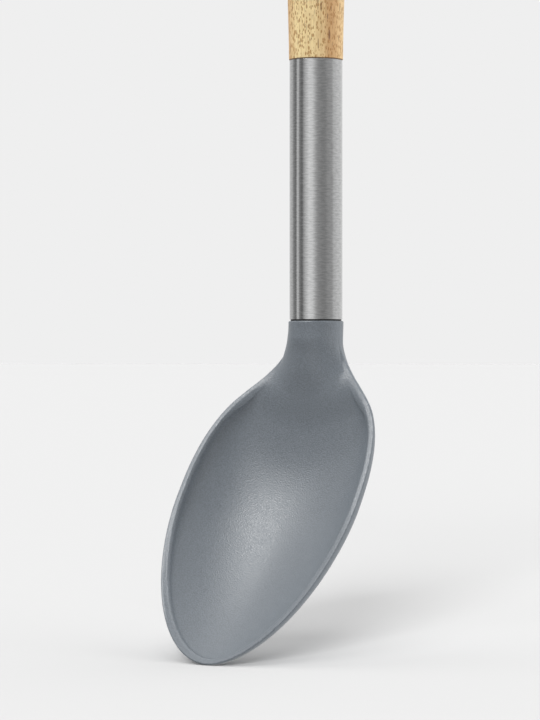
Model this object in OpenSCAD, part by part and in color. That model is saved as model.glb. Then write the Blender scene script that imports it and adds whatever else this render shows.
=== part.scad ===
// Serving spoon: a moulded nylon head, a steel sleeve and a turned wooden grip, held together by one
// threaded rod that runs out of sight from a brass insert in the head to a second one in the grip.
// The spoon stands upright, hollow side towards -Y, with its origin in the middle of the hanging hole.

/* [Grip] */
// Length of the grip, from the sleeve to its rounded end
grip_len = 135; // [110:1:160]
// Largest diameter of the grip
grip_belly_d = 21.4; // [20:0.1:25]
// Diameter of the grip where its rounded end begins
grip_end_d = 19.4; // [18:0.1:22]
// Length of the rounded end
grip_dome_len = 9; // [6:0.5:11]
// Diameter of the hanging hole
hole_d = 6; // [4:0.5:8]
// Distance from the rounded end to the hanging hole
hole_from_end = 15; // [13:0.5:20]
// Length of the tenon that fills the top of the sleeve
tenon_len = 20; // [18:0.5:30]

/* [Sleeve] */
// Outer diameter of the steel sleeve
sleeve_d = 18; // [16:0.1:22]
// Length of the steel sleeve
sleeve_len = 88; // [70:0.5:110]
// Wall of the steel sleeve
sleeve_wall = 0.6; // [0.4:0.1:0.8]
// Thickness of the ring that seals the sleeve's foot
seal_t = 0.5; // [0.4:0.1:0.8]

/* [Neck] */
// Straight length of the neck before it starts to bend
bend_from = 0.6; // [0.4:0.1:4]
// Radius of the bend between neck and bowl
bend_r = 36.4; // [30:0.1:44]
// Tilt of the bowl's rim away from the handle, in degrees
bowl_tilt = 36.5; // [25:0.5:45]
// Length of the spigot that fills the foot of the sleeve
spigot_len = 24; // [20:0.5:30]

/* [Bowl] */
// Length of the rim's middle line, from the sleeve's foot to the tip
reach = 133; // [120:0.2:145]
// Distance along that line to the widest place
widest_at = 69.4; // [60:0.1:74]
// Greatest width of the bowl
bowl_w = 69.1; // [60:0.1:76]
// Greatest depth of the bowl's outside below the rim
bowl_depth = 16.2; // [14:0.1:20]
// Wall of the bowl at its deepest place
bowl_wall = 2.2; // [1.8:0.1:3]
// Width of the rim's face along the sides
rim_w = 2; // [1.4:0.1:2.6]
// Width of the rim's face at the tip
rim_tip_w = 2.7; // [1.8:0.1:3.2]
// Height of the upright band below the rim along the sides
band_h = 1.6; // [1:0.1:2.4]

/* [Rod] */
// Thread diameter of the tie rod
rod_d = 5; // [4:0.5:6]
// Depth of the rod's thread in each insert
rod_grip = 14; // [10:0.5:15]
// Outer diameter of the brass insert in the head
insert_d = 9; // [8.5:0.1:10.5]
// Length of each brass insert
insert_len = 16; // [15.5:0.5:18]

/* [Hidden] */

// Gap around a fitted piece, and the overrun of a cut
fit = 0.05;
cut = 1;
round_fn = 96;

// Levels along the handle, from the hole down
grip_top = hole_from_end;
grip_foot = grip_top - grip_len;
sleeve_foot = grip_foot - sleeve_len;
seam = sleeve_foot - seal_t;

// Sleeve, and what fills it
sleeve_r = sleeve_d / 2;
sleeve_bore_r = sleeve_r - sleeve_wall;
plug_r = sleeve_bore_r - fit;
sleeve_edge = 0.15;

// Grip: how far it stands proud of the sleeve, its soft edges and its swell
grip_proud = 0.2;
grip_foot_r = sleeve_r + grip_proud;
grip_edge = 0.6;
grip_belly_r = grip_belly_d / 2;
grip_end_r = grip_end_d / 2;
grip_at_shares = [0, 0.16, 0.36, 0.62, 0.84, 1];
grip_swell_shares = [0, 0.28, 0.78, 1];
grip_fall_shares = [1, 0.5, 0];
grip_steps = 30;
dome_steps = 10;
edge_steps = 4;
hole_r = hole_d / 2;
hole_soft = 1.1;
hole_flare = 1.9;
tenon_edge = 0.5;

// Rod and inserts
rod_r = rod_d / 2;
rod_shank_r = rod_r - 0.35;
rod_chamfer = 0.6;
thread_run = rod_grip + rod_chamfer;
rod_foot = seam + spigot_len - rod_grip;
rod_top = grip_foot - tenon_len + rod_grip;
insert_r = insert_d / 2;
insert_groove = 0.6;
insert_groove_share = 0.3;
wood_ridge = 0.6;
wood_ridges = 7;
insert_bore_r = rod_r + fit;

// Head: collar, seal and spigot
collar_proud = 0.15;
collar_r = sleeve_r + collar_proud;
collar_edge = 0.5;
seal_rest = 0.25;
seal_out_r = sleeve_bore_r + seal_rest;
seal_width = 0.8;
seal_in_r = seal_out_r - seal_width;
spigot_boss_r = insert_r + 1.8;
spigot_band = 3;
spigot_rib_w = 1.6;
spigot_ribs = 6;
spigot_root = 1;

// Head: the edges of the bowl
rim_r = bowl_w / 2;
hollow = bowl_depth - bowl_wall;
edge_r = 0.4;
inner_edge_r = 0.9;
shoulder_r = 0.9;
shoulder_soft = 2;
face_least = 0.3;
rim_dip = 1.05;
band_draft = 0.08;
band_tip_share = 0.3;
rib_lead = 8;
mid_step = 0.5;

// Head: flare of the outline, as shares of the way to the widest place and of the gain in width
flare_at_shares = [0, 0.09, 0.18, 0.27, 0.36, 0.455, 0.575, 0.76, 1];
flare_shares = [0, 0.009, 0.108, 0.289, 0.502, 0.704, 0.859, 0.971, 1];
tip_point = 1.81;
tip_round = 1.88;

// Head: height of the front and depth of the back on the middle line, as shares of the collar's radius,
// of the hollow and of the bowl's depth, at shares of the way to the widest place
mid_at_shares = [0, 0.1, 0.2, 0.3, 0.4, 0.54, 0.74, 1];
front_up_shares = [1, 1, 0.82, 0.58, 0.24, 0.03, 0, 0];
front_down_shares = [0, 0, 0.02, 0.09, 0.26, 0.57, 0.88, 1];
back_up_shares = [1, 0.96, 0.93, 0.73, 0.42, 0.12, 0, 0];
back_down_shares = [0, 0, 0.046, 0.206, 0.467, 0.747, 0.938, 1];
dress_from_share = 0.045;
dress_to_share = 0.25;
shoulder_from_share = 0.13;
shoulder_to_share = 0.3;

// Height of the middle line over the rim at which the front starts to hollow, and depth at which it is hollow
hollow_from = 1.5;
hollow_to = 9;

// Head: how pointed the curves of its front and back are, from half for an ellipse to one for a parabola,
// and how finely they are cut
round_point = 0.5;
neck_point = 1.3;
neck_point_to_share = 0.67;
front_point = 0.56;
front_tip_point = 0.9;
back_point = 0.59;
back_tip_point = 0.63;
neck_steps = 30;
tip_steps = 16;
front_steps = 10;
back_steps = 10;
lip_steps = 5;
rim_arc = 6;
round_share = 1 - cos(45);
halfway_share = 0.5;

// Smooth monotone curve through hand-set knots, flat at both ends
function clamp01(x) = min(1, max(0, x));
function ease(x) = x * x * (3 - 2 * x);
function secant(xs, ys, i) = (ys[i + 1] - ys[i]) / (xs[i + 1] - xs[i]);
function gentle(a, b) = a * b <= 0 ? 0 : sign(a) * min(abs(a + b) / 2, 3 * abs(a), 3 * abs(b));
function slope(xs, ys, i) = i == 0 || i == len(xs) - 1 ? 0 : gentle(secant(xs, ys, i - 1), secant(xs, ys, i));
function cell(xs, x, i = 0) = i >= len(xs) - 2 || x <= xs[i + 1] ? i : cell(xs, x, i + 1);
function hermite(a, b, p, q, u) =
    a * (1 - ease(u)) + b * ease(u) + p * (u ^ 3 - 2 * u ^ 2 + u) + q * (u ^ 3 - u ^ 2);
function curve(xs, ys, x) =
    let (i = cell(xs, x), h = xs[i + 1] - xs[i])
    hermite(ys[i], ys[i + 1], h * slope(xs, ys, i), h * slope(xs, ys, i + 1), clamp01((x - xs[i]) / h));

// Grip radius at a height over its foot: a swell to the belly, then a fall to the rounded end
belly_at_share = grip_at_shares[3];
grip_straight = grip_len - grip_dome_len;
function grip_swell(t) = curve([for (i = [0:3]) grip_at_shares[i]], grip_swell_shares, t);
function grip_fall(t) = curve([for (i = [3:5]) grip_at_shares[i]], grip_fall_shares, t);
function grip_r(t) = t < belly_at_share
    ? grip_foot_r + (grip_belly_r - grip_foot_r) * grip_swell(t)
    : grip_end_r + (grip_belly_r - grip_end_r) * grip_fall(t);
hole_wall_y = grip_r((grip_len - hole_from_end) / grip_straight) - hole_soft;

// Middle line of the rim: straight, a bend, then straight along the tilted bowl
bend_len = bend_r * bowl_tilt * PI / 180;
bend_to = bend_from + bend_len;
function turn(s) = clamp01((s - bend_from) / bend_len) * bowl_tilt;
function ahead(s) = bend_r * (1 - cos(turn(s))) + max(0, s - bend_to) * sin(bowl_tilt);
function below(s) = min(s, bend_from) + bend_r * sin(turn(s)) + max(0, s - bend_to) * cos(bowl_tilt);

// A point of the head: x across, s along the middle line, n above the rim's plane
function place(x, s, n) = [x, -ahead(s) - n * cos(turn(s)), seam - below(s) + n * sin(turn(s))];

// Half width of the outline at s, before and after the widest place
function collar_soft(s) = s >= collar_edge ? 0 : collar_edge - sqrt(collar_edge ^ 2 - (collar_edge - s) ^ 2);
function flare(s) = collar_r + (rim_r - collar_r) * curve(flare_at_shares, flare_shares, s / widest_at);
function tip_half(t) = rim_r * (1 - t ^ tip_point) ^ (1 / tip_round);

// Stations from the collar to the tip: [half width, s of the edge, s where the rib meets the middle]
function neck_station(s) = [flare(s) - collar_soft(s), s, s + rib_lead * sin(180 * s / widest_at)];
function tip_station(t) = [tip_half(t), widest_at + t * (reach - widest_at), widest_at];
collar_steps = [0, 0.15, 0.5, 1];
stations = concat(
    [for (k = collar_steps) neck_station(k * collar_edge)],
    [for (i = [1:neck_steps]) neck_station(collar_edge + (widest_at - collar_edge) * i / neck_steps)],
    [for (i = [1:tip_steps]) tip_station(sin(90 * i / tip_steps))]);
last = len(stations) - 1;

function front_h(s) =
    collar_r * curve(mid_at_shares, front_up_shares, s / widest_at)
    - hollow * curve(mid_at_shares, front_down_shares, s / widest_at);
function back_h(s) =
    collar_r * curve(mid_at_shares, back_up_shares, s / widest_at)
    + bowl_depth * curve(mid_at_shares, back_down_shares, s / widest_at);

// How far a station has turned from the round neck into the dressed bowl, and how near it is to the tip
function dressed(s) = ease(clamp01((s / reach - dress_from_share) / (dress_to_share - dress_from_share)));
function tipward(s) = clamp01((s - widest_at) / (reach - widest_at));
function rounded(s) =
    1 - ease(clamp01((s / reach - shoulder_from_share) / (shoulder_to_share - shoulder_from_share)));
function mix(p, q, g) = p * (1 - g) + q * g;

// Slope of the front and of the back along the middle line
function front_m(s) = (front_h(s + mid_step) - front_h(s - mid_step)) / (2 * mid_step);
function back_m(s) = (back_h(s + mid_step) - back_h(s - mid_step)) / (2 * mid_step);

// Length of a whole rib measured square to the outline
function rib_square(i) =
    let (
        st = stations[i],
        along = stations[min(i + 1, last)] - stations[max(i - 1, 0)],
        x = i == last ? -1 : along[0],
        y = i == last ? 0 : along[1])
    (st[0] * y + (st[2] - st[1]) * x) / norm([x, y]);

// Points of a rib as [share of the way to the middle, n]: on the round neck, on the bowl's curve from the
// rim to the middle, and across its lip, which ends in the rim's outer edge
function neck_curve(c, f, b) = [1 - cos(c), (c > 0 ? f : b) * sin(c)];
function bowl_curve(a, point, from, h) =
    [from[0] + (1 - from[0]) * (1 - cos(a)), from[1] + (h - from[1]) * sin(a) ^ (2 * point)];
function bowl_lip(face_to, lift, dip, outer, inner, drop) =
    [[face_to + inner, lift - drop - dip],
     [face_to + inner * halfway_share, lift - drop * halfway_share ^ 2 - dip],
     [face_to, lift - dip],
     [outer, lift],
     [outer * round_share, lift - outer * round_share],
     [0, lift - outer]];
function rib(i) =
    let (
        s = stations[i][1],
        mid = stations[i][2],
        square = rib_square(i),
        f = front_h(mid) - collar_soft(s),
        b = back_h(mid) - collar_soft(s),
        g = dressed(s),
        tau = tipward(s),
        dip = rim_dip * tau,
        lift = shoulder_r * rounded(s),
        outer = edge_r + lift,
        inner = inner_edge_r + lift + shoulder_soft * rounded(s),
        drop = (inner_edge_r + lift) * ease(clamp01((lift - f) / hollow_to)),
        hollowed = ease(clamp01((lift + hollow_from - f) / (hollow_from + hollow_to))),
        bowl_point = mix(neck_point, front_point, hollowed),
        pointed = mix(round_point, bowl_point, ease(clamp01(g / neck_point_to_share))),
        front_by = mix(pointed, front_tip_point, tau),
        back_by = mix(mix(round_point, back_point, g), back_tip_point, tau),
        face_to = max(mix(rim_w, rim_tip_w, tau) - edge_r, outer + face_least),
        band = band_h * mix(1, band_tip_share, tau),
        full_lip = [for (p = bowl_lip(face_to, lift, dip, outer, inner, drop)) [p[0] / square, p[1]]],
        lip = [for (k = [0:lip_steps])
            mix(neck_curve(rim_arc * (1 - 2 * k / lip_steps), f, b), full_lip[k], g)],
        neck_foot = neck_curve(-rim_arc - 90 / (back_steps + 1), f, b),
        foot = mix(neck_foot, [band_draft * band / square, -band], g))
    concat(
        [for (k = [0:front_steps - 1]) bowl_curve(90 - 90 * k / front_steps, front_by, lip[0], f)],
        lip,
        [for (k = [0:back_steps]) bowl_curve(90 * k / back_steps, back_by, foot, -b)]);
back_at = front_steps + lip_steps + 1;
rib_points = back_at + back_steps + 1;

// A rib's points in space, on the right for side 1 and on the left for side -1. Near the middle line they
// follow its slope, so that ribs from both sides and from the tip meet there smoothly.
function rib_space(i, side) =
    let (
        st = stations[i],
        lean = st[1] - st[2],
        up = front_m(st[2]),
        down = -back_m(st[2]),
        points = rib(i),
        front_from = points[front_steps][0],
        back_from = points[back_at - 1][0])
    [for (j = [0:rib_points - 1])
        let (
            q = points[j][0],
            front = j < front_steps,
            from = front ? front_from : back_from,
            inward = front || j >= back_at ? ease(clamp01((q - from) / (1 - from))) : 0,
            m = front ? up : down)
        place(side * st[0] * (1 - q), st[2] + lean * (1 - q), points[j][1] + m * lean * (1 - q) * inward)];

// A section is its right rib from front to back and its left rib back to the front; the tip is one rib
loop = 2 * rib_points - 2;
function section(i) =
    let (left = rib_space(i, -1))
    concat(rib_space(i, 1), [for (j = [rib_points - 2:-1:1]) left[j]]);
function wrap(j) = j <= rib_points - 1 ? j : loop - j;

module head_shell() {
    points = concat([for (i = [0:last - 1]) each section(i)], rib_space(last, 1));
    near = (last - 1) * loop;
    end = last * loop;
    polyhedron(points, concat(
        [[for (j = [loop - 1:-1:0]) j]],
        [for (i = [0:last - 2], j = [0:loop - 1])
            let (a = i * loop + j, b = i * loop + (j + 1) % loop)
            each [[a, b, a + loop], [b, b + loop, a + loop]]],
        [for (j = [0:loop - 1])
            let (a = near + j, b = near + (j + 1) % loop, p = end + wrap(j), q = end + wrap((j + 1) % loop))
            each [[a, b, p], [b, q, p]]]), convexity = 6);
}

module ring(r_out, r_in, h) {
    rotate_extrude($fn = round_fn) translate([r_in, 0]) square([r_out - r_in, h]);
}

// Half profile of the head's insert: two barrels with a groove that the nylon fills
function insert_profile(gap) =
    let (r = insert_r + gap, g = insert_len * insert_groove_share / 2, m = insert_len / 2)
    [[0, 0], [r, 0], [r, m - g], [r - insert_groove, m - g], [r - insert_groove, m + g],
     [r, m + g], [r, insert_len], [0, insert_len]];

module spigot() {
    root = seal_in_r - fit;
    translate([0, 0, seam - spigot_root]) cylinder(r = root, h = spigot_root + seal_t + cut, $fn = round_fn);
    translate([0, 0, seam + seal_t]) cylinder(r = plug_r, h = spigot_band, $fn = round_fn);
    translate([0, 0, seam + spigot_len - spigot_band]) cylinder(r = plug_r, h = spigot_band, $fn = round_fn);
    translate([0, 0, seam]) cylinder(r = spigot_boss_r, h = spigot_len, $fn = round_fn);
    rib_from = seam + seal_t + spigot_band / 2;
    intersection() {
        translate([0, 0, rib_from]) cylinder(r = plug_r, h = spigot_len - spigot_band - seal_t, $fn = round_fn);
        union() for (i = [0:spigot_ribs - 1])
            rotate([0, 0, 360 * i / spigot_ribs])
                translate([0, -spigot_rib_w / 2, rib_from]) cube([sleeve_r, spigot_rib_w, spigot_len]);
    }
}

module nylon_head() {
    color("#757c82") difference() {
        union() {
            head_shell();
            spigot();
        }
        translate([0, 0, seam + spigot_len - insert_len - fit]) {
            rotate_extrude($fn = round_fn) polygon(insert_profile(fit));
            translate([0, 0, insert_len]) cylinder(r = insert_r + fit, h = cut, $fn = round_fn);
        }
    }
}

module head_insert() {
    color("#c8a04c") translate([0, 0, seam + spigot_len - insert_len]) difference() {
        rotate_extrude($fn = round_fn) polygon(insert_profile(0));
        translate([0, 0, -cut]) cylinder(r = insert_bore_r, h = insert_len + 2 * cut, $fn = round_fn);
    }
}

module head_seal() {
    color("#2b2c2e") translate([0, 0, seam]) ring(seal_out_r, seal_in_r, seal_t);
}

module steel_sleeve() {
    e = sleeve_edge;
    color("#b9b8b4") translate([0, 0, sleeve_foot]) rotate_extrude($fn = round_fn) polygon([
        [sleeve_bore_r, 0], [sleeve_r - e, 0], [sleeve_r, e],
        [sleeve_r, sleeve_len - e], [sleeve_r - e, sleeve_len], [sleeve_bore_r, sleeve_len]]);
}

module tie_rod() {
    run = rod_top - rod_foot;
    c = rod_chamfer;
    half = [[0, 0], [rod_r - c, 0], [rod_r, c], [rod_r, thread_run], [rod_shank_r, thread_run + c]];
    color("#a9abad") translate([0, 0, rod_foot]) rotate_extrude($fn = round_fn)
        polygon(concat(half, [for (i = [len(half) - 1:-1:0]) [half[i][0], run - half[i][1]]]));
}

module grip_insert() {
    pitch = insert_len / wood_ridges;
    core = insert_r - wood_ridge;
    color("#c8a04c") translate([0, 0, grip_foot - tenon_len]) difference() {
        rotate_extrude($fn = round_fn) polygon(concat(
            [[0, 0]],
            [for (i = [0:wood_ridges - 1]) each [[core, i * pitch], [insert_r, (i + 0.5) * pitch]]],
            [[core, insert_len], [0, insert_len]]));
        translate([0, 0, -cut]) cylinder(r = insert_bore_r, h = insert_len + 2 * cut, $fn = round_fn);
    }
}

module grip_body() {
    e = grip_edge;
    face_r = grip_foot_r - e;
    foot = [for (i = [0:edge_steps]) let (a = 90 * i / edge_steps) [face_r + e * sin(a), e * (1 - cos(a))]];
    side = [for (i = [1:grip_steps])
        let (z = e + (grip_straight - e) * i / grip_steps)
        [grip_r(z / grip_straight), z]];
    dome = [for (i = [1:dome_steps])
        let (a = 90 * i / dome_steps)
        [i == dome_steps ? 0 : grip_end_r * cos(a), grip_straight + grip_dome_len * sin(a)]];
    tenon = [[0, -tenon_len], [plug_r - tenon_edge, -tenon_len], [plug_r, tenon_edge - tenon_len], [plug_r, 0]];
    translate([0, 0, grip_foot]) rotate_extrude($fn = round_fn) polygon(concat(tenon, foot, side, dome));
}

module hanging_hole() {
    rotate([90, 0, 0]) {
        cylinder(r = hole_r, h = grip_belly_d + 2 * cut, center = true, $fn = round_fn);
        for (side = [0, 180]) rotate([side, 0, 0]) translate([0, 0, hole_wall_y])
            cylinder(r1 = hole_r, r2 = hole_r + hole_flare, h = hole_flare, $fn = round_fn);
    }
}

module wooden_grip() {
    color("#dcb67c") difference() {
        grip_body();
        hanging_hole();
        translate([0, 0, grip_foot - tenon_len - cut])
            cylinder(r = insert_r + fit, h = insert_len + fit + cut, $fn = round_fn);
    }
}

wooden_grip();
grip_insert();
tie_rod();
steel_sleeve();
head_seal();
head_insert();
nylon_head();
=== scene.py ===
"""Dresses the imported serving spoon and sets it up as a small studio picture.

The spoon is a moulded nylon head, a brushed steel sleeve and a turned wooden grip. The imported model
gives the frame; the classes below build the finer shapes that show and the finishes of every piece.
Lengths in the classes are millimetres, and a mesh is brought to metres when it is finished.
"""

import logging
import math
from dataclasses import dataclass, field
from enum import Enum
from typing import Sequence

import bmesh
import bpy
from mathutils import Matrix, Vector


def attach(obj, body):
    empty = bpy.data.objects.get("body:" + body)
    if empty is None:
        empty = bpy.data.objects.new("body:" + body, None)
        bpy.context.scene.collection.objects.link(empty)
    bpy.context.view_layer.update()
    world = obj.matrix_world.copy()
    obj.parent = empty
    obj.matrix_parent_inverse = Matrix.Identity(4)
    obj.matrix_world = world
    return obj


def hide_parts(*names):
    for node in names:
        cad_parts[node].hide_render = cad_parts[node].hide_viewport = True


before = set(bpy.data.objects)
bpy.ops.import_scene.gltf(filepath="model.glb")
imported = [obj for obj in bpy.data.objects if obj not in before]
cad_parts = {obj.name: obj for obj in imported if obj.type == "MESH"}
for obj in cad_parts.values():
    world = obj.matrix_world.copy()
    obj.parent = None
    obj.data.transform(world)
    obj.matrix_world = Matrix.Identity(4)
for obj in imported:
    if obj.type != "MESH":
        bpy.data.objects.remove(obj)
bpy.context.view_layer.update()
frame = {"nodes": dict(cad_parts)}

LOG = logging.getLogger("spoon")
MM = 0.001
BRIGHTEST = 4.0
Point = tuple[float, float]
Color = tuple[float, float, float]


class Slot(Enum):
    """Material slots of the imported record."""

    WOOD = "grip_wood"
    SLEEVE = "sleeve_steel"
    NYLON = "head_nylon"
    SEAL = "seal_rubber"
    BRASS = "insert_brass"
    ROD = "rod_steel"


class Mixing(Enum):
    """Ways to lay one colour over another."""

    OVER = "MIX"
    TIMES = "MULTIPLY"


class Run(Enum):
    """Ways a ramp runs from stop to stop."""

    STRAIGHT = "LINEAR"
    SOFT = "EASE"


class Source(Enum):
    """Coordinates a texture is laid on."""

    OBJECT = "Object"
    MAP = "UV"


def clamp01(x: float) -> float:
    """Limits x to the range from 0 to 1."""
    return min(1.0, max(0.0, x))


def ease(x: float) -> float:
    """Smooth step from 0 to 1 for x from 0 to 1."""
    return x * x * (3 - 2 * x)


def mix(p: float, q: float, g: float) -> float:
    """Value that lies the share g of the way from p to q."""
    return p * (1 - g) + q * g


@dataclass(frozen=True)
class Knots:
    """Smooth monotone curve through given knots, flat at both ends.

    Args:
        at: places of the knots, rising.
        value: the curve's value at each place.
    """

    at: tuple[float, ...]
    value: tuple[float, ...]

    def _secant(self, i: int) -> float:
        """Slope of the straight line from knot i to the next."""
        return (self.value[i + 1] - self.value[i]) / (self.at[i + 1] - self.at[i])

    def _slope(self, i: int) -> float:
        """Slope of the curve at knot i.

        Args:
            i: number of the knot.

        Returns:
            The slope, level where the curve turns back and never so steep that it overshoots.
        """
        if i in (0, len(self.at) - 1):
            return 0.0
        a, b = self._secant(i - 1), self._secant(i)
        if a * b <= 0:
            return 0.0
        return math.copysign(min(abs(a + b) / 2, 3 * abs(a), 3 * abs(b)), a)

    def __call__(self, x: float) -> float:
        """Value of the curve at x.

        Args:
            x: the place.

        Returns:
            The curve's value; before the first knot and past the last one it stays level.
        """
        i = 0
        while i < len(self.at) - 2 and x > self.at[i + 1]:
            i += 1
        h = self.at[i + 1] - self.at[i]
        u = clamp01((x - self.at[i]) / h)
        rise = mix(self.value[i], self.value[i + 1], ease(u))
        lead = h * self._slope(i) * (u**3 - 2 * u**2 + u)
        return rise + lead + h * self._slope(i + 1) * (u**3 - u**2)


class Workshop:
    """Shared steps that turn a bmesh in millimetres into a finished piece."""

    @staticmethod
    def arc(cx: float, cy: float, r: float, start: float, end: float, steps: int) -> list[Point]:
        """Points of a circular arc.

        Args:
            cx, cy: centre of the arc.
            r: its radius.
            start, end: its first and last angle in degrees.
            steps: how many pieces it is cut into.

        Returns:
            steps + 1 points.
        """
        turns = [math.radians(mix(start, end, i / steps)) for i in range(steps + 1)]
        return [(cx + r * math.cos(t), cy + r * math.sin(t)) for t in turns]

    @staticmethod
    def spin(bm: bmesh.types.BMesh, outline: Sequence[Point], steps: int) -> None:
        """Turns an outline of (radius, height) points around the Z axis.

        Args:
            bm: the mesh that takes the shape.
            outline: points in order, the first and last on the axis or meeting each other.
            steps: how many steps a full turn has.
        """
        verts = [bm.verts.new((r, 0.0, z)) for r, z in outline]
        edges = [bm.edges.new(pair) for pair in zip(verts, verts[1:])]
        bmesh.ops.spin(bm, geom=verts + edges, cent=(0, 0, 0), axis=(0, 0, 1),
                       angle=math.tau, steps=steps, use_merge=True)
        bmesh.ops.remove_doubles(bm, verts=bm.verts[:], dist=1e-5)

    @staticmethod
    def finish(bm: bmesh.types.BMesh, name: str, crease: float = 32.0) -> bpy.types.Object:
        """Closes the bmesh's normals, brings it to metres and makes it an object at the origin.

        Args:
            bm: the finished shape in millimetres; it is freed.
            name: name of the piece.
            crease: edges that turn by more degrees than this stay sharp.

        Returns:
            The new object.
        """
        bmesh.ops.recalc_face_normals(bm, faces=bm.faces[:])
        for face in bm.faces:
            face.smooth = True
        for edge in bm.edges:
            if len(edge.link_faces) == 2:
                edge.smooth = edge.calc_face_angle(0.0) < math.radians(crease)
        bmesh.ops.scale(bm, vec=(MM, MM, MM), verts=bm.verts[:])
        mesh = bpy.data.meshes.new(name)
        bm.to_mesh(mesh)
        bm.free()
        piece = bpy.data.objects.new(name, mesh)
        bpy.context.scene.collection.objects.link(piece)
        return piece

    @staticmethod
    def install(piece: bpy.types.Object, slot: Slot, node: str) -> bpy.types.Object:
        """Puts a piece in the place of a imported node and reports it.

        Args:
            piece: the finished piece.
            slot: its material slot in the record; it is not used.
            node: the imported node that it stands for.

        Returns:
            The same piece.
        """
        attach(piece, "root")
        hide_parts(node)
        LOG.info("%s stands for %s: %d faces", piece.name, node, len(piece.data.polygons))
        return piece


class Graph:
    """Short hand for building one node tree."""

    def __init__(self, tree: bpy.types.NodeTree) -> None:
        """Empties the tree and keeps it."""
        self.tree = tree
        tree.nodes.clear()

    def add(self, kind: str, inputs: dict | None = None, **settings: object) -> bpy.types.Node:
        """Adds a node.

        Args:
            kind: the node's type without the ShaderNode prefix.
            inputs: socket name or number to a value, or to another node's output socket.
            settings: properties of the node itself.

        Returns:
            The new node.
        """
        node = self.tree.nodes.new("ShaderNode" + kind)
        for key, value in settings.items():
            setattr(node, key, value)
        for key, value in (inputs or {}).items():
            if isinstance(value, bpy.types.NodeSocket):
                self.tree.links.new(value, node.inputs[key])
            else:
                node.inputs[key].default_value = value
        return node

    def math(self, operation: str, *terms: object) -> bpy.types.NodeSocket:
        """Adds a Math node on numbers or sockets and returns its value."""
        return self.add("Math", dict(enumerate(terms)), operation=operation).outputs[0]

    def ramp(self, factor: bpy.types.NodeSocket, stops: Sequence[tuple[float, Color | float]],
             run: Run = Run.STRAIGHT) -> bpy.types.NodeSocket:
        """Adds a colour ramp.

        Args:
            factor: what drives the ramp.
            stops: (place, colour or grey) pairs, rising.
            run: how it runs from stop to stop.

        Returns:
            The ramp's colour.
        """
        node = self.add("ValToRGB", {0: factor})
        node.color_ramp.interpolation = run.value
        while len(node.color_ramp.elements) < len(stops):
            node.color_ramp.elements.new(0.5)
        for element, (place, tone) in zip(node.color_ramp.elements, stops):
            element.position = place
            element.color = (*(tone if isinstance(tone, tuple) else (tone,) * 3), 1.0)
        return node.outputs[0]

    def swing(self, pattern: bpy.types.NodeSocket, middle: float, below: float,
              above: float) -> bpy.types.NodeSocket:
        """Lets a value swing around its middle with a pattern, from middle - below to middle + above."""
        return self.ramp(pattern, [(0.3, middle - below), (0.7, middle + above)])

    def blend(self, way: Mixing, factor: object, a: object, b: object) -> bpy.types.NodeSocket:
        """Mixes two colours.

        Args:
            way: how b is laid over a.
            factor: share of b.
            a, b: colours or sockets.

        Returns:
            The mixed colour.
        """
        node = self.add("Mix", data_type="RGBA", blend_type=way.value)
        for index, value in ((0, factor), (6, a), (7, b)):
            if isinstance(value, bpy.types.NodeSocket):
                self.tree.links.new(value, node.inputs[index])
            else:
                node.inputs[index].default_value = value if index == 0 else (*value, 1.0)
        return node.outputs[2]

    def place(self, scale: Sequence[float] = (1, 1, 1),
              source: Source = Source.OBJECT) -> bpy.types.NodeSocket:
        """Adds texture coordinates with a Mapping node.

        Args:
            scale: scale along each axis.
            source: the object's own axes, in metres, or its map, in the map's unit.

        Returns:
            The mapped vector.
        """
        coordinates = self.add("TexCoord").outputs[source.value]
        return self.add("Mapping", {"Vector": coordinates, "Scale": scale}).outputs[0]

    def noise(self, vector: bpy.types.NodeSocket, scale: float = 1.0, detail: float = 2.0,
              rough: float = 0.5, warp: float = 0.0) -> bpy.types.NodeSocket:
        """Adds a noise texture.

        Args:
            vector: where it is laid.
            scale: how many waves fit in the vector's unit.
            detail: how many finer layers it has.
            rough: how strong the finer layers are.
            warp: how far the layers bend each other.

        Returns:
            Its value.
        """
        node = self.add("TexNoise", {"Vector": vector, "Scale": scale, "Detail": detail,
                                     "Roughness": rough, "Distortion": warp})
        return node.outputs["Fac"]

    def bump(self, height: bpy.types.NodeSocket, strength: float, depth_mm: float,
             under: bpy.types.NodeSocket | None = None) -> bpy.types.NodeSocket:
        """Adds a Bump node.

        Args:
            height: the height pattern, from 0 to 1.
            strength: how much of it counts.
            depth_mm: how high a full step is.
            under: normal of a coarser bump below this one.

        Returns:
            Its normal.
        """
        inputs = {"Height": height, "Strength": strength, "Distance": depth_mm * MM}
        if under is not None:
            inputs["Normal"] = under
        return self.add("Bump", inputs).outputs[0]


class Finish:
    """A finish that builds its own material."""

    name = "finish"

    def shade(self, graph: Graph) -> bpy.types.NodeSocket:
        """Builds the finish's nodes and returns the shader."""
        raise NotImplementedError

    def material(self) -> bpy.types.Material:
        """Makes the material.

        Returns:
            The material, ready for a slot.
        """
        made = bpy.data.materials.new(self.name)
        made.use_nodes = True
        graph = Graph(made.node_tree)
        graph.add("OutputMaterial", {"Surface": self.shade(graph)})
        return made


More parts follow.
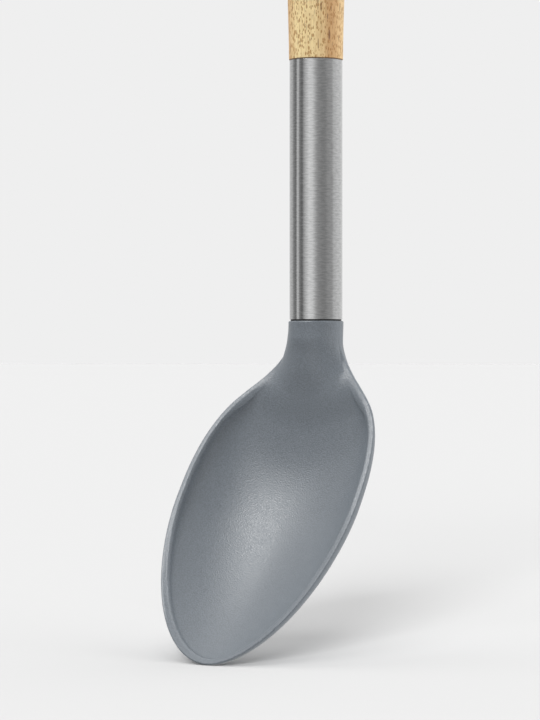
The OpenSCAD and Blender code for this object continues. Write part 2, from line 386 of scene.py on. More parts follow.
@dataclass(frozen=True)
class SatinNylon(Finish):
    """Blue-grey nylon from a spark-eroded mould: satin, finely speckled."""

    name: str = "satin_nylon"
    base: Color = (0.163, 0.184, 0.207)
    pale: Color = (0.175, 0.197, 0.221)
    roughness: float = 0.39
    smoother: float = 0.10
    rougher: float = 0.12
    specular: float = 0.58
    cloud_mm: float = 18.0
    speckle_mm: float = 0.44
    speckle_depth_mm: float = 0.12
    speckle_share: float = 0.11

    def shade(self, graph: Graph) -> bpy.types.NodeSocket:
        """Builds the nylon's shader.

        Args:
            graph: the material's nodes.

        Returns:
            The shader.
        """
        space = graph.place()
        cloud = graph.noise(space, 1 / (self.cloud_mm * MM), detail=3.0)
        speckle = graph.noise(space, 1 / (self.speckle_mm * MM), detail=1.0, rough=0.4)
        grain = graph.ramp(speckle, [(0.35, 1 - self.speckle_share), (0.65, 1 + self.speckle_share)])
        color = graph.blend(Mixing.TIMES, 1.0, graph.blend(Mixing.OVER, cloud, self.base, self.pale), grain)
        return graph.add("BsdfPrincipled", {
            "Base Color": color, "Specular IOR Level": self.specular,
            "Roughness": graph.swing(speckle, self.roughness, self.smoother, self.rougher),
            "Normal": graph.bump(speckle, strength=0.7, depth_mm=self.speckle_depth_mm)}).outputs[0]


@dataclass(frozen=True)
class BrushedSteel(Finish):
    """Stainless tube brushed around its axis, on a UV map in millimetres."""

    name: str = "brushed_steel"
    base: Color = (0.640, 0.645, 0.648)
    shade_color: Color = (0.560, 0.562, 0.560)
    roughness: float = 0.14
    line_mm: float = 0.10
    stroke_mm: float = 3.0
    patch_mm: float = 2.2
    patch_high_mm: float = 0.55
    patch_levels: Point = (0.84, 1.06)

    def shade(self, graph: Graph) -> bpy.types.NodeSocket:
        """Builds the steel's shader.

        Args:
            graph: the material's nodes.

        Returns:
            The shader.
        """
        strokes = graph.place((1 / self.stroke_mm, 1 / self.line_mm, 1), source=Source.MAP)
        broad = graph.place((1 / self.patch_mm, 1 / self.patch_high_mm, 1), source=Source.MAP)
        fine = graph.noise(strokes, detail=3.0, rough=0.6)
        coarse = graph.noise(broad)
        brushed = graph.blend(Mixing.OVER, fine, self.shade_color, self.base)
        dark, bright = self.patch_levels
        patches = graph.ramp(coarse, [(0.30, dark), (0.66, bright)])
        waves = graph.bump(coarse, strength=0.5, depth_mm=0.016)
        return graph.add("BsdfPrincipled", {
            "Base Color": graph.blend(Mixing.TIMES, 1.0, brushed, patches), "Metallic": 1.0,
            "Roughness": graph.swing(coarse, self.roughness, below=0.03, above=0.05),
            "Normal": graph.bump(fine, strength=0.45, depth_mm=0.006, under=waves)}).outputs[0]


@dataclass(frozen=True)
class TurnedWood(Finish):
    """Pale hardwood with short brown flecks and a few dark pores. Pale and dark bands laid along the camera's
    sideways axis paint side light and shade together with the wood's figure, and a dark line of painted shade
    lies at the foot.
    """

    name: str = "turned_wood"
    light: Color = (1.000, 0.800, 0.430)
    mid: Color = (0.640, 0.380, 0.160)
    vein: Color = (0.550, 0.380, 0.220)
    fleck: Color = (0.420, 0.190, 0.045)
    pore: Color = (0.240, 0.110, 0.040)
    # Colour of the painted shade line at the foot of the grip, where it meets the sleeve.
    seam_shade: Color = (0.120, 0.055, 0.025)
    roughness: float = 0.52
    foot_z: float = -120.0
    seam_shade_mm: float = 0.45
    # The bands run along the camera's sideways axis and paint side light and shade together with the wood's
    # figure.
    side_shade_way: tuple[float, float] = (0.866, 0.500)
    band_span_mm: float = 20.0
    wobble_mm: float = 3.0
    side_shade_levels: tuple[Point, ...] = (
        (0.05, 0.25), (0.15, 1.0), (0.40, 0.95), (0.60, 0.55), (0.72, 0.0), (0.80, 0.05), (0.92, 0.5))

    def figure_and_side_shade(self, graph: Graph, axes: Sequence[bpy.types.NodeSocket],
              figure: bpy.types.NodeSocket) -> bpy.types.NodeSocket:
        """Lays pale and dark bands across the grip along the camera's sideways axis: painted side light and
        shade together with the wood's figure.

        Args:
            graph: the wood's nodes.
            axes: the spot's x, y and z in millimetres.
            figure: the noise that lets the bands wander.

        Returns:
            1 in pale bands and 0 in dark ones.
        """
        side = graph.math("MULTIPLY_ADD", axes[1], self.side_shade_way[1],
                          graph.math("MULTIPLY", axes[0], self.side_shade_way[0]))
        astray = graph.math("MULTIPLY", graph.math("SUBTRACT", figure, 0.5), self.wobble_mm)
        share = graph.math("MULTIPLY_ADD", graph.math("ADD", side, astray), 1 / self.band_span_mm, 0.5)
        return graph.ramp(share, self.side_shade_levels, Run.SOFT)

    @staticmethod
    def dashes(graph: Graph, per_mm: float, short: float, least: float,
               spread: float) -> bpy.types.NodeSocket:
        """Scatters short dashes along the grain.

        Args:
            graph: the wood's nodes.
            per_mm: how many dashes fit across a millimetre.
            short: how short they are, where 1 is round.
            least: size of the smallest ones, below zero where most are missing.
            spread: how much larger the largest ones are.

        Returns:
            1 inside a dash and 0 between them.
        """
        cells = graph.add("TexVoronoi", {
            "Vector": graph.place((1 / MM, 1 / MM, short / MM)), "Scale": per_mm, "Randomness": 1.0})
        chance = graph.add("SeparateColor", {0: cells.outputs["Color"]}).outputs[0]
        size = graph.math("MULTIPLY_ADD", chance, spread, least)
        inside = graph.math("SUBTRACT", size, cells.outputs["Distance"])
        return graph.ramp(inside, [(0.0, 0.0), (0.16, 1.0)], Run.SOFT)

    def shade(self, graph: Graph) -> bpy.types.NodeSocket:
        """Builds the wood's shader.

        Args:
            graph: the material's nodes.

        Returns:
            The shader.
        """
        axes = graph.add("SeparateXYZ", {0: graph.place((1 / MM,) * 3)}).outputs
        along = graph.place((1 / MM, 1 / MM, 0.10 / MM))
        figure = graph.noise(along, 0.20, detail=4.0, rough=0.6, warp=0.6)
        fibre = graph.noise(along, 2.0, detail=4.0, rough=0.65)
        flecks = self.dashes(graph, per_mm=1.8, short=0.40, least=0.15, spread=0.50)
        pores = self.dashes(graph, per_mm=1.15, short=0.17, least=-0.12, spread=0.56)
        # Pale and dark bands along the camera's sideways axis: painted side light and shade, together with
        # the wood's figure.
        figure_and_side_shade = self.figure_and_side_shade(graph, axes, figure)
        body = graph.blend(Mixing.OVER, figure_and_side_shade, self.mid, self.light)
        veined = graph.blend(Mixing.TIMES, 0.45, body, graph.ramp(fibre, [(0.34, self.vein), (0.56, 1.0)]))
        fleck_share = graph.math("MULTIPLY", flecks, graph.math("MULTIPLY_ADD", figure_and_side_shade, -0.15, 0.90))
        pore_share = graph.math("MULTIPLY", pores, graph.math("MULTIPLY_ADD", figure_and_side_shade, -0.60, 1.0))
        flecked = graph.blend(Mixing.OVER, fleck_share, veined, self.fleck)
        grained = graph.blend(Mixing.OVER, pore_share, flecked, self.pore)
        # Painted shade: a thin dark line at the grip's foot, in the seam with the sleeve.
        above = graph.math("DIVIDE", graph.math("SUBTRACT", axes[2], self.foot_z), self.seam_shade_mm)
        painted_seam_shade = graph.ramp(above, [(0.55, 1.0), (1.0, 0.0)], Run.SOFT)
        color = graph.blend(Mixing.OVER, graph.math("MULTIPLY", painted_seam_shade, 0.85), grained, self.seam_shade)
        grooves = graph.bump(fibre, strength=0.25, depth_mm=0.05)
        return graph.add("BsdfPrincipled", {
            "Base Color": color, "Roughness": self.roughness,
            "Normal": graph.bump(graph.math("SUBTRACT", 1.0, flecks), strength=0.3, depth_mm=0.04,
                                 under=grooves)}).outputs[0]


@dataclass(frozen=True)
class PlainMetal(Finish):
    """Turned metal of a hidden piece, with fine tool marks and a few dull patches."""

    name: str = "turned_metal"
    base: Color = (0.6, 0.6, 0.6)
    dull: Color = (0.5, 0.5, 0.5)
    roughness: float = 0.3
    mark_mm: float = 0.2
    patch_mm: float = 5.0

    def shade(self, graph: Graph) -> bpy.types.NodeSocket:
        """Builds the metal's shader.

        Args:
            graph: the material's nodes.

        Returns:
            The shader.
        """
        marks = graph.noise(graph.place((1, 1, 1 / (self.mark_mm * MM))))
        patches = graph.noise(graph.place(), 1 / (self.patch_mm * MM), detail=3.0)
        return graph.add("BsdfPrincipled", {
            "Base Color": graph.blend(Mixing.OVER, patches, self.dull, self.base), "Metallic": 1.0,
            "Roughness": graph.swing(patches, self.roughness, below=0.0, above=0.12),
            "Normal": graph.bump(marks, strength=0.3, depth_mm=0.01)}).outputs[0]


@dataclass(frozen=True)
class SealRubber(Finish):
    """Black rubber with a slight bloom."""

    name: str = "seal_rubber"
    base: Color = (0.012, 0.012, 0.013)
    bloom: Color = (0.030, 0.030, 0.031)
    roughness: float = 0.6
    bloom_mm: float = 0.8

    def shade(self, graph: Graph) -> bpy.types.NodeSocket:
        """Builds the rubber's shader.

        Args:
            graph: the material's nodes.

        Returns:
            The shader.
        """
        bloom = graph.noise(graph.place(), 1 / (self.bloom_mm * MM), detail=4.0)
        return graph.add("BsdfPrincipled", {
            "Base Color": graph.blend(Mixing.OVER, bloom, self.base, self.bloom), "Roughness": self.roughness,
            "Normal": graph.bump(bloom, strength=0.4, depth_mm=0.02)}).outputs[0]


@dataclass
class NylonHead:
    """The moulding: collar, bent neck, bowl and the spigot inside the sleeve.

    Ribs run from the rim's outer edge to the bowl's middle line, on the front and on the back. Each is
    given as pairs (share of the way in from the edge, height over the rim's plane).
    """

    seam: float = -208.5
    bore_r: float = 8.4
    collar_r: float = 9.15
    collar_edge: float = 0.5
    bend_from: float = 0.6
    bend_r: float = 36.4
    tilt: float = 36.5
    reach: float = 133.0
    widest_at: float = 69.4
    rim_r: float = 34.55
    bowl_depth: float = 16.2
    bowl_wall: float = 2.2
    rim_w: float = 2.0
    rim_tip_w: float = 2.7
    rim_dip: float = 1.05
    band_h: float = 1.6
    band_draft: float = 0.08
    band_tip_share: float = 0.3
    band_step: float = 0.16
    edge_r: float = 0.4
    inner_edge_r: float = 0.9
    shoulder_r: float = 0.9
    shoulder_soft: float = 2.0
    shoulder_shares: Point = (0.13, 0.30)
    face_least: float = 0.3
    hollow_from: float = 1.5
    hollow_to: float = 9.0
    neck_point: float = 1.3
    point_to: float = 0.67
    rib_lead: float = 8.0
    tip_point: float = 1.81
    tip_round: float = 1.88
    front_point: Point = (0.56, 0.90)
    back_point: Point = (0.59, 0.63)
    rim_arc: float = 6.0
    dress_shares: Point = (0.045, 0.25)
    flare_knots: Knots = Knots((0, 0.09, 0.18, 0.27, 0.36, 0.455, 0.575, 0.76, 1),
                               (0, 0.009, 0.108, 0.289, 0.502, 0.704, 0.859, 0.971, 1))
    mid_at: tuple[float, ...] = (0, 0.1, 0.2, 0.3, 0.4, 0.54, 0.74, 1)
    front_up: tuple[float, ...] = (1, 1, 0.82, 0.58, 0.24, 0.03, 0, 0)
    front_down: tuple[float, ...] = (0, 0, 0.02, 0.09, 0.26, 0.57, 0.88, 1)
    back_up: tuple[float, ...] = (1, 0.96, 0.93, 0.73, 0.42, 0.12, 0, 0)
    back_down: tuple[float, ...] = (0, 0, 0.046, 0.206, 0.467, 0.747, 0.938, 1)
    collar_turns: tuple[float, ...] = (0, 20, 40, 60, 75, 90)
    neck_steps: int = 90
    tip_steps: int = 56
    curve_steps: int = 30
    lip_steps: int = 6
    root_r: float = 7.8
    plug_gap: float = 0.05
    boss_r: float = 6.3
    pocket_r: float = 4.55
    key_h: float = 0.6
    weld: float = 2e-4
    spigot_ribs: int = 6
    spigot_rib: tuple[float, float, float] = (2.5, 1.6, 18.5)
    stations: list[tuple[float, float, float]] = field(default_factory=list)

    def turn(self, s: float) -> float:
        """Turn of the middle line at s, in radians."""
        bend = self.bend_r * math.radians(self.tilt)
        return clamp01((s - self.bend_from) / bend) * math.radians(self.tilt)

    def place(self, x: float, s: float, n: float) -> Vector:
        """Finds a point of the head in space.

        Args:
            x: how far it lies to the right.
            s: how far it lies from the seam, along the bent line.
            n: how far it lies above the rim's plane.

        Returns:
            The point in millimetres.
        """
        t = self.turn(s)
        on = max(0.0, s - self.bend_from - self.bend_r * math.radians(self.tilt))
        ahead = self.bend_r * (1 - math.cos(t)) + on * math.sin(t)
        below = min(s, self.bend_from) + self.bend_r * math.sin(t) + on * math.cos(t)
        return Vector((x, -ahead - n * math.cos(t), self.seam - below + n * math.sin(t)))

    def collar_soft(self, s: float) -> float:
        """How far the collar's rounded edge is drawn in at s.

        Args:
            s: distance from the seam.

        Returns:
            The distance, zero past the edge.
        """
        if s >= self.collar_edge:
            return 0.0
        return self.collar_edge - math.sqrt(self.collar_edge**2 - (self.collar_edge - s) ** 2)

    def neck_station(self, s: float) -> tuple[float, float, float]:
        """Half width, place of the edge and place of the middle for a rib above the widest place.

        Args:
            s: distance of its edge from the seam.

        Returns:
            The three sizes in millimetres.
        """
        share = s / self.widest_at
        half = self.collar_r + (self.rim_r - self.collar_r) * self.flare_knots(share)
        return half - self.collar_soft(s), s, s + self.rib_lead * math.sin(math.pi * share)

    def tip_station(self, t: float) -> tuple[float, float, float]:
        """The same for a rib below the widest place, at the share t of the way to the tip."""
        half = self.rim_r * max(0.0, 1 - t**self.tip_point) ** (1 / self.tip_round)
        return half, self.widest_at + t * (self.reach - self.widest_at), self.widest_at

    def lay_stations(self) -> None:
        """Fills the list of ribs from the collar to the tip."""
        edge = self.collar_edge
        arc = [edge * (1 - math.cos(math.radians(a))) for a in self.collar_turns]
        run = [edge + (self.widest_at - edge) * i / self.neck_steps for i in range(1, self.neck_steps + 1)]
        tip = [math.sin(math.pi / 2 * i / self.tip_steps) for i in range(1, self.tip_steps + 1)]
        self.stations = [self.neck_station(s) for s in arc + run] + [self.tip_station(t) for t in tip]

    def front_h(self, s: float) -> float:
        """Height of the front on the middle line.

        Args:
            s: distance from the seam.

        Returns:
            The height over the rim's plane, below zero in the bowl.
        """
        share = s / self.widest_at
        hollow = self.bowl_depth - self.bowl_wall
        up, down = Knots(self.mid_at, self.front_up), Knots(self.mid_at, self.front_down)
        return self.collar_r * up(share) - hollow * down(share)

    def back_h(self, s: float) -> float:
        """Depth of the back on the middle line.

        Args:
            s: distance from the seam.

        Returns:
            The depth under the rim's plane.
        """
        share = s / self.widest_at
        up, down = Knots(self.mid_at, self.back_up), Knots(self.mid_at, self.back_down)
        return self.collar_r * up(share) + self.bowl_depth * down(share)

    def dressed(self, s: float) -> float:
        """How far a place has turned from the round neck into the bowl, from 0 to 1."""
        low, high = self.dress_shares
        return ease(clamp01((s / self.reach - low) / (high - low)))

    def tipward(self, s: float) -> float:
        """How near a place is to the tip, from 0 at the widest place to 1."""
        return clamp01((s - self.widest_at) / (self.reach - self.widest_at))

    def shoulder(self, s: float) -> float:
        """How much rounder the rim's edges are at s than along the bowl."""
        low, high = self.shoulder_shares
        return self.shoulder_r * (1 - ease(clamp01((s / self.reach - low) / (high - low))))

    def rib_square(self, i: int) -> float:
        """Length of rib i measured square to the outline.

        Args:
            i: number of the rib, from the collar.

        Returns:
            The length in millimetres.
        """
        half, edge, middle = self.stations[i]
        after, before = self.stations[min(i + 1, len(self.stations) - 1)], self.stations[max(i - 1, 0)]
        dx, dy = after[0] - before[0], after[1] - before[1]
        if i == len(self.stations) - 1:
            dx, dy = -1.0, 0.0
        return (half * dy + (middle - edge) * dx) / math.hypot(dx, dy)

    def lip(self, face_to: float, lift: float, dip: float, inner: float, drop: float,
            band: float) -> list[Point]:
        """Section of the rim, from the hollow to the foot of its outer band, in millimetres.

        Args:
            face_to: where the rim's flat face ends.
            lift: how far the face is raised, and its outer edge rounded, at the shoulders.
            dip: how far the face's inner end dips.
            inner: width of the rounded inner edge.
            drop: height of the rounded inner edge.
            band: height of the outer band.

        Returns:
            (distance in from the edge, height) points.
        """
        outer = self.edge_r + lift
        n = self.lip_steps
        inside = [(face_to + inner * k / n, lift - drop * (k / n) ** 2 - dip) for k in range(n, -1, -1)]
        outside = [(outer + x, y) for x, y in Workshop.arc(0, -self.edge_r, outer, 90, 180, n)]
        face = [(mix(inside[-1][0], outside[0][0], k / 3), mix(inside[-1][1], outside[0][1], k / 3))
                for k in (1, 2)]
        draft = self.band_draft
        side = [(draft * h, -h) for h in (mix(self.edge_r, band, 0.5), mix(self.edge_r, band, 0.9))]
        step = [(draft * band + self.band_step * band / self.band_h, -band)]
        return inside + face + outside + side + step

    def rib(self, i: int) -> list[Point]:
        """Points (share of the way in, height) of rib i, from the front's middle over the rim and back.

        Args:
            i: number of the rib, from the collar.

        Returns:
            The points, as many for each rib.
        """
        _, s, middle = self.stations[i]
        square = self.rib_square(i)
        front = self.front_h(middle) - self.collar_soft(s)
        back = self.back_h(middle) - self.collar_soft(s)
        dressed, tau, lift = self.dressed(s), self.tipward(s), self.shoulder(s)
        inner = self.inner_edge_r + lift * (1 + self.shoulder_soft / self.shoulder_r)
        drop = (self.inner_edge_r + lift) * ease(clamp01((lift - front) / self.hollow_to))
        hollowed = ease(clamp01((lift + self.hollow_from - front) / (self.hollow_from + self.hollow_to)))
        bowl_point = mix(self.neck_point, self.front_point[0], hollowed)
        point = mix(0.5, bowl_point, ease(clamp01(dressed / self.point_to)))
        rim_w = mix(self.rim_w, self.rim_tip_w, tau)
        face_to = max(rim_w - self.edge_r, self.edge_r + lift + self.face_least)
        band = self.band_h * mix(1, self.band_tip_share, tau)
        full = self.lip(face_to, lift, self.rim_dip * tau, inner, drop, band)
        lip = []
        for k, (x, y) in enumerate(full):
            a = math.radians(self.rim_arc * (1 - 2 * k / (len(full) - 1)))
            lip.append((mix(1 - math.cos(a), x / square, dressed),
                        mix((front if a > 0 else back) * math.sin(a), y, dressed)))

        def bowl(a: float, power: float, start: Point, height: float) -> Point:
            """Point of the bowl's curve between the rim and the middle line.

            Args:
                a: angle in degrees, 0 at the rim and 90 on the middle line.
                power: how gently it leaves the rim; 0.5 gives an ellipse.
                start: where it leaves the rim.
                height: its height on the middle line.

            Returns:
                The point (share of the way in, height).
            """
            a = math.radians(a)
            return (start[0] + (1 - start[0]) * (1 - math.cos(a)),
                    start[1] + (height - start[1]) * max(0.0, math.sin(a)) ** (2 * power))

        front_point = mix(point, self.front_point[1], tau)
        back_point = mix(mix(0.5, self.back_point[0], dressed), self.back_point[1], tau)
        steps = self.curve_steps
        return ([bowl(90 - 90 * k / steps, front_point, lip[0], front) for k in range(steps)] + lip
                + [bowl(90 * k / steps, back_point, lip[-1], -back) for k in range(1, steps + 1)])

    def rib_space(self, i: int, side: int) -> list[Vector]:
        """Sets rib i in space; near the middle line its points follow that line's slope.

        Args:
            i: number of the rib, from the collar.
            side: 1 for the right half and -1 for the left one.

        Returns:
            The rib's points in millimetres, from the front's middle to the back's.
        """
        half, edge, middle = self.stations[i]
        lean, before, after = edge - middle, middle - 0.5, middle + 0.5
        up = self.front_h(after) - self.front_h(before)
        down = self.back_h(before) - self.back_h(after)
        points, steps = self.rib(i), self.curve_steps
        front_from, back_from = points[steps][0], points[-steps - 1][0]
        placed = []
        for j, (q, n) in enumerate(points):
            rise = 0.0
            if j < steps:
                rise = up * ease(clamp01((q - front_from) / (1 - front_from)))
            elif j >= len(points) - steps:
                rise = down * ease(clamp01((q - back_from) / (1 - back_from)))
            out = lean * (1 - q)
            placed.append(self.place(side * half * (1 - q), middle + out, n + rise * out))
        return placed

    def shell(self, bm: bmesh.types.BMesh) -> None:
        """Lays a grid over the head's ribs and welds it along the middle line and at the tip.

        Args:
            bm: the mesh that takes the shape.
        """
        self.lay_stations()
        sections = []
        for i in range(len(self.stations)):
            right, left = self.rib_space(i, 1), self.rib_space(i, -1)
            sections.append(right + left[-2::-1])
        rows, columns = len(sections), len(sections[0])
        made = bmesh.ops.create_grid(bm, x_segments=rows - 1, y_segments=columns - 1, size=0.5)
        for vert in made["verts"]:
            row = round((vert.co.x + 0.5) * (rows - 1))
            column = round((vert.co.y + 0.5) * (columns - 1))
            vert.co = sections[row][column]
        bmesh.ops.remove_doubles(bm, verts=bm.verts[:], dist=self.weld)
        rim = [edge for edge in bm.edges if edge.is_boundary]
        bmesh.ops.holes_fill(bm, edges=rim, sides=0)

    def spigot(self, bm: bmesh.types.BMesh) -> None:
        """Adds the spigot with its two bands, six ribs and the grooved pocket of its insert.

        Args:
            bm: the mesh that takes the shape.
        """
        root, boss, pocket = self.root_r, self.boss_r, self.pocket_r
        plug, key = self.bore_r - self.plug_gap, pocket - self.key_h
        stem = [(0, -1), (root, -1), (root, 0.5)]
        low_band = [(plug, 0.5), (plug, 3.5), (boss, 3.5)]
        high_band = [(boss, 21), (plug - 0.3, 21), (plug, 21.3), (plug, 23.7), (plug - 0.3, 24)]
        socket = [(pocket, 24), (pocket, 18.4), (key, 18.4), (key, 13.5), (pocket, 13.5), (pocket, 7.95),
                  (0, 7.95)]
        outline = [(r, self.seam + z) for r, z in stem + low_band + high_band + socket]
        Workshop.spin(bm, outline, steps=96)
        for k in range(self.spigot_ribs):
            cube = bmesh.ops.create_cube(bm, size=1.0)["verts"]
            around = Matrix.Rotation(k * math.tau / self.spigot_ribs, 3, "Z")
            bmesh.ops.scale(bm, vec=self.spigot_rib, verts=cube)
            bmesh.ops.translate(bm, vec=(boss + 0.75, 0, self.seam + 12.25), verts=cube)
            bmesh.ops.rotate(bm, cent=(0, 0, 0), matrix=around, verts=cube)

    def build(self, finish: Finish) -> bpy.types.Object:
        """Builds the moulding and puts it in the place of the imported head.

        Args:
            finish: what it is dressed in.

        Returns:
            The dressed moulding.
        """
        bm = bmesh.new()
        self.shell(bm)
        self.spigot(bm)
        piece = Workshop.finish(bm, "moulded_head")
        piece.data.materials.append(finish.material())
        return Workshop.install(piece, Slot.NYLON, "nylon_head")


@dataclass
class SteelSleeve:
    """Straight steel tube between collar and grip."""

    foot: float = -208.0
    length: float = 88.0
    radius: float = 9.0
    bore: float = 8.4
    edge: float = 0.03
    steps: int = 192

    def outline(self) -> list[Point]:
        """Closed section of the tube, from its inner foot around and back.

        Returns:
            (radius, height) points in millimetres.
        """
        e, top = self.edge, self.foot + self.length
        lower = Workshop.arc(self.radius - e, self.foot + e, e, -90, 0, 4)
        upper = Workshop.arc(self.radius - e, top - e, e, 0, 90, 4)
        start = (self.bore, self.foot)
        return [start, *lower, *upper, (self.bore, top), start]

    def unroll(self, bm: bmesh.types.BMesh) -> None:
        """Gives the tube a UV map in millimetres: around, then along.

        Args:
            bm: the tube's mesh.
        """
        layer = bm.loops.layers.uv.new("around")
        for face in bm.faces:
            middle = face.calc_center_median()
            centre = math.atan2(middle.y, middle.x)
            for loop in face.loops:
                turn = math.atan2(loop.vert.co.y, loop.vert.co.x)
                turn += math.tau * round((centre - turn) / math.tau)
                loop[layer].uv = (turn * self.radius, loop.vert.co.z)

    def build(self, finish: Finish) -> bpy.types.Object:
        """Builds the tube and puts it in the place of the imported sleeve.

        Args:
            finish: what it is dressed in.

        Returns:
            The dressed tube.
        """
        bm = bmesh.new()
        Workshop.spin(bm, self.outline(), self.steps)
        self.unroll(bm)
        piece = Workshop.finish(bm, "sleeve_tube", crease=50)
        piece.data.materials.append(finish.material())
        return Workshop.install(piece, Slot.SLEEVE, "steel_sleeve")


@dataclass
class TurnedGrip:
    """Wooden grip with its tenon, swell, rounded end and hanging hole."""

    foot: float = -120.0
    length: float = 135.0
    dome: float = 9.0
    foot_r: float = 9.2
    belly_r: float = 10.7
    end_r: float = 9.7
    edge: float = 0.6
    tenon: float = 20.0
    plug_r: float = 8.35
    pocket_r: float = 4.55
    pocket: float = 16.05
    hole_r: float = 3.0
    wall_y: float = 8.68
    flare: float = 1.9
    swell: Knots = Knots((0, 0.16, 0.36, 0.62), (0, 0.28, 0.78, 1))
    fall: Knots = Knots((0.62, 0.84, 1), (1, 0.5, 0))

    def radius(self, share: float) -> float:
        """Radius at a share of the straight length.

        Args:
            share: 0 at the grip's foot and 1 where its end begins to round.

        Returns:
            The radius in millimetres.
        """
        if share < self.swell.at[-1]:
            return mix(self.foot_r, self.belly_r, self.swell(share))
        return mix(self.end_r, self.belly_r, self.fall(share))

    def outline(self) -> list[Point]:
        """Half section from the pocket around the tenon to the rounded end.

        Returns:
            (radius, height) points in millimetres.
        """
        e, straight = self.edge, self.length - self.dome
        tenon = [(0, self.pocket - self.tenon), (self.pocket_r, self.pocket - self.tenon),
                 (self.pocket_r, -self.tenon), (self.plug_r - 0.5, -self.tenon),
                 (self.plug_r, 0.5 - self.tenon), (self.plug_r, 0)]
        foot = Workshop.arc(self.foot_r - e, e, e, -90, 0, 6)
        run = [e + (straight - e) * i / 60 for i in range(1, 61)]
        side = [(self.radius(z / straight), z) for z in run]
        turns = [math.pi / 2 * i / 18 for i in range(1, 19)]
        end = [(self.end_r * math.cos(t), straight + self.dome * math.sin(t)) for t in turns]
        end[-1] = (0, end[-1][1])
        return [(r, z + self.foot) for r, z in tenon + foot + side + end]

    def cutter(self) -> bpy.types.Object:
        """Makes the tool that bores the hanging hole and softens its mouths.

        Returns:
            The tool, which is removed once the hole is bored.
        """
        bm = bmesh.new()
        w, f, r = self.wall_y, self.flare, self.hole_r
        mouth = [(r + f * (1 - math.cos(t)), w + f * math.sin(t))
                 for t in (math.pi / 2 * k / 8 for k in range(1, 9))]
        side = [(r, w), *mouth, (r + f, w + f + 2)]
        outline = [(0, -w - f - 2), *[(x, -y) for x, y in reversed(side)], *side, (0, w + f + 2)]
        Workshop.spin(bm, outline, steps=64)
        bmesh.ops.rotate(bm, cent=(0, 0, 0), matrix=Matrix.Rotation(math.pi / 2, 3, "X"), verts=bm.verts[:])
        return Workshop.finish(bm, "hole_cutter")

    def build(self, finish: Finish) -> bpy.types.Object:
        """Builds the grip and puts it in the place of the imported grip.

        Args:
            finish: what it is dressed in.

        Returns:
            The dressed grip.
        """
        bm = bmesh.new()
        Workshop.spin(bm, self.outline(), steps=128)
        piece = Workshop.finish(bm, "turned_grip")
        cutter = self.cutter()
        bore = piece.modifiers.new("bore", "BOOLEAN")
        bore.operation, bore.solver, bore.object = "DIFFERENCE", "EXACT", cutter
        graph = bpy.context.evaluated_depsgraph_get()
        bored = bpy.data.meshes.new_from_object(piece.evaluated_get(graph))
        piece.modifiers.clear()
        piece.data = bored
        bpy.data.objects.remove(cutter)
        piece.data.materials.clear()
        piece.data.materials.append(finish.material())
        return Workshop.install(piece, Slot.WOOD, "wooden_grip")


@dataclass
class HiddenPieces:
    """Seal, inserts and rod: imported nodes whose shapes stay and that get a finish."""

    finishes: dict[str, Finish] = field(default_factory=lambda: {
        "head_seal": SealRubber(),
        "head_insert": PlainMetal("turned_brass", (0.75, 0.53, 0.22), (0.62, 0.42, 0.17), 0.28, 0.3),
        "grip_insert": PlainMetal("ridged_brass", (0.72, 0.51, 0.21), (0.60, 0.41, 0.16), 0.32, 0.3),
        "tie_rod": PlainMetal("plated_rod", (0.62, 0.62, 0.63), (0.52, 0.53, 0.54), 0.30, 0.8),
    })

    def dress(self, nodes: dict[str, bpy.types.Object]) -> None:
        """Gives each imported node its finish.

        Args:
            nodes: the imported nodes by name.
        """
        for name, finish in self.finishes.items():
            made = finish.material()
            for holder in nodes[name].material_slots:
                holder.material = made
            LOG.info("%s keeps its shape and gets %s", name, finish.name)


@dataclass(frozen=True)
class Sun:
    """A wide soft light: its compass angle from the front, its height, spread and strength."""

    name: str
    azimuth: float
    elevation: float
    spread: float
    strength: float

    def hang(self) -> bpy.types.Object:
        """Puts the light into the scene.

        Returns:
            The lamp's object.
        """
        lamp = bpy.data.lights.new(self.name, "SUN")
        lamp.energy = self.strength
        lamp.angle = math.radians(self.spread)
        holder = bpy.data.objects.new(self.name, lamp)
        azimuth, rise = math.radians(self.azimuth), math.radians(self.elevation)
        flat = math.cos(rise)
        towards = Vector((math.sin(azimuth) * flat, -math.cos(azimuth) * flat, math.sin(rise)))
        holder.rotation_euler = towards.to_track_quat("Z", "Y").to_euler()
        bpy.context.scene.collection.objects.link(holder)
        return holder


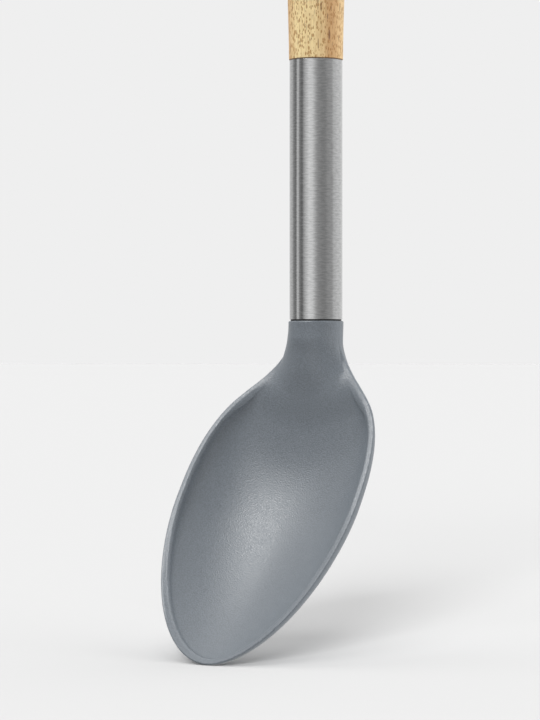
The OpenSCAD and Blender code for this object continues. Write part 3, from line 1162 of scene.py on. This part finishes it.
@dataclass
class Studio:
    """Pale floor, soft light and camera of the picture."""

    floor_z: float = -319.0
    paper: float = 0.545
    backdrop: float = 0.8632
    key: Sun = Sun("key_softbox", -40.0, 60.0, 26.0, 2.0)
    low_fill: Sun = Sun("low_softbox", 21.0, 18.0, 17.0, 4.4)
    high_fill: Sun = Sun("overhead_softbox", 20.0, 58.0, 36.0, 1.1)
    low_sky: tuple[Point, ...] = (
        (-180, 1.30), (-135, 1.20), (-90, 0.58), (-45, 0.06), (0, 0.06), (45, 0.30), (75, 1.70), (95, 3.2),
        (125, 1.80), (150, 1.35))
    high_sky: tuple[Point, ...] = (
        (-180, 1.28), (-135, 1.22), (-90, 1.28), (-45, 0.50), (0, 0.06), (45, 0.34), (90, 0.95), (135, 1.15))
    low_to: float = 0.26
    high_from: float = 0.64
    camera_azimuth: float = 30.0
    distance: float = 952.7
    aside: float = 15.65
    eye_z: float = -221.8
    lens: float = 140.0
    sensor: float = 36.0
    walls: tuple[Point, ...] = (
        (-180, 0.85), (-158, 0.72), (-130, 0.62), (-112, 0.30), (-100, 0.20), (-88, 0.82), (-76, 0.26),
        (-64, 0.18), (-54, 0.52), (-44, 0.74), (-30, 0.98), (-17, 0.92), (-8, 0.70), (0, 0.50), (9, 0.38),
        (26, 0.31), (38, 0.30), (54, 0.38), (72, 0.42), (84, 0.66), (112, 0.78), (158, 0.86))

    def lay_floor(self) -> bpy.types.Object:
        """Lays the pale floor, large enough to meet the backdrop out of sight.

        Returns:
            The floor.
        """
        bm = bmesh.new()
        bmesh.ops.create_grid(bm, x_segments=1, y_segments=1, size=60000)
        bmesh.ops.translate(bm, vec=(0, 0, self.floor_z), verts=bm.verts[:])
        floor = Workshop.finish(bm, "studio_floor")
        paper = bpy.data.materials.new("floor_paper")
        paper.use_nodes = True
        graph = Graph(paper.node_tree)
        surface = graph.add("BsdfDiffuse", {"Color": (self.paper, self.paper, self.paper, 1)})
        graph.add("OutputMaterial", {"Surface": surface.outputs[0]})
        floor.data.materials.append(paper)
        floor.visible_glossy = False
        return floor

    @staticmethod
    def ring(graph: Graph, turn: bpy.types.NodeSocket, levels: Sequence[Point],
             start: float) -> bpy.types.NodeSocket:
        """Makes a ring of light around the object.

        Args:
            graph: the world's nodes.
            turn: compass angle of the ray, in radians.
            levels: (angle in degrees from the start, brightness) pairs, rising from -180.
            start: compass angle from which the levels are given, in degrees.

        Returns:
            The ring's brightness.
        """
        behind = graph.math("SUBTRACT", turn, math.radians(start - 180))
        share = graph.math("FRACT", graph.math("ADD", graph.math("DIVIDE", behind, math.tau), 1.0))
        stops = [((a + 180) / 360, level / BRIGHTEST) for a, level in (*levels, (180, levels[0][1]))]
        return graph.math("MULTIPLY", graph.ramp(share, stops, Run.SOFT), BRIGHTEST)

    def hang_sky(self) -> None:
        """Makes the world: a pale backdrop, light from sides and behind, and walls for gloss to mirror."""
        world = bpy.data.worlds.new("studio")
        bpy.context.scene.world = world
        world.use_nodes = True
        graph = Graph(world.node_tree)
        axes = graph.add("SeparateXYZ", {0: graph.add("TexCoord").outputs["Generated"]})
        turn = graph.math("ARCTAN2", axes.outputs[0], graph.math("MULTIPLY", axes.outputs[1], -1.0))
        path = graph.add("LightPath")
        high = self.ring(graph, turn, self.high_sky, 0)
        low = graph.add("Mix", {0: path.outputs["Is Glossy Ray"], 2: self.ring(graph, turn, self.low_sky, 0),
                                3: self.ring(graph, turn, self.walls, self.camera_azimuth)}).outputs[0]
        span = {0: axes.outputs[2], 1: self.low_to, 2: self.high_from}
        rise = graph.add("MapRange", span, interpolation_type="SMOOTHSTEP")
        strength = graph.add("Mix", {0: rise.outputs[0], 2: low, 3: high}).outputs[0]
        sky = graph.add("Background", {"Color": (1, 1, 1, 1), "Strength": strength})
        pale = graph.add("Background", {"Color": (self.backdrop,) * 3 + (1,), "Strength": 1.0})
        seen = graph.math("MAXIMUM", path.outputs["Is Camera Ray"], path.outputs["Is Transmission Ray"])
        final = graph.add("MixShader", {0: seen, 1: sky.outputs[0], 2: pale.outputs[0]})
        graph.add("OutputWorld", {"Surface": final.outputs[0]})

    def set_lights(self, floor: bpy.types.Object) -> None:
        """Hangs the high key light for the spoon, and two that give the floor the spoon's soft shadow.

        Args:
            floor: the studio's floor.
        """
        for light, state in ((self.key, "EXCLUDE"), (self.low_fill, "INCLUDE"), (self.high_fill, "INCLUDE")):
            receivers = bpy.data.collections.new(f"{light.name}_floor")
            receivers.objects.link(floor)
            receivers.collection_objects[0].light_linking.link_state = state
            light.hang().light_linking.receiver_collection = receivers

    def set_camera(self) -> None:
        """Sets the level camera with its long lens."""
        data = bpy.data.cameras.new("picture")
        data.lens, data.sensor_width = self.lens, self.sensor
        data.clip_start, data.clip_end = 0.01, 200.0
        camera = bpy.data.objects.new("picture", data)
        a = math.radians(self.camera_azimuth)
        out, right = Vector((math.sin(a), -math.cos(a), 0)), Vector((math.cos(a), math.sin(a), 0))
        place = out * self.distance - right * self.aside
        camera.location = (place.x * MM, place.y * MM, self.eye_z * MM)
        camera.rotation_euler = (math.pi / 2, 0, a)
        bpy.context.scene.collection.objects.link(camera)
        bpy.context.scene.camera = camera

    def build(self) -> None:
        """Sets up floor, sky, light and camera."""
        self.hang_sky()
        self.set_lights(self.lay_floor())
        self.set_camera()
        bpy.context.scene.view_settings.view_transform = "Standard"
        LOG.info("studio is set")


def main() -> None:
    """Builds the spoon's pieces and the studio."""
    logging.basicConfig(level=logging.INFO, format="%(message)s")
    NylonHead().build(SatinNylon())
    SteelSleeve().build(BrushedSteel())
    TurnedGrip().build(TurnedWood())
    HiddenPieces().dress(frame["nodes"])
    Studio().build()


if __name__ == "__main__":
    main()
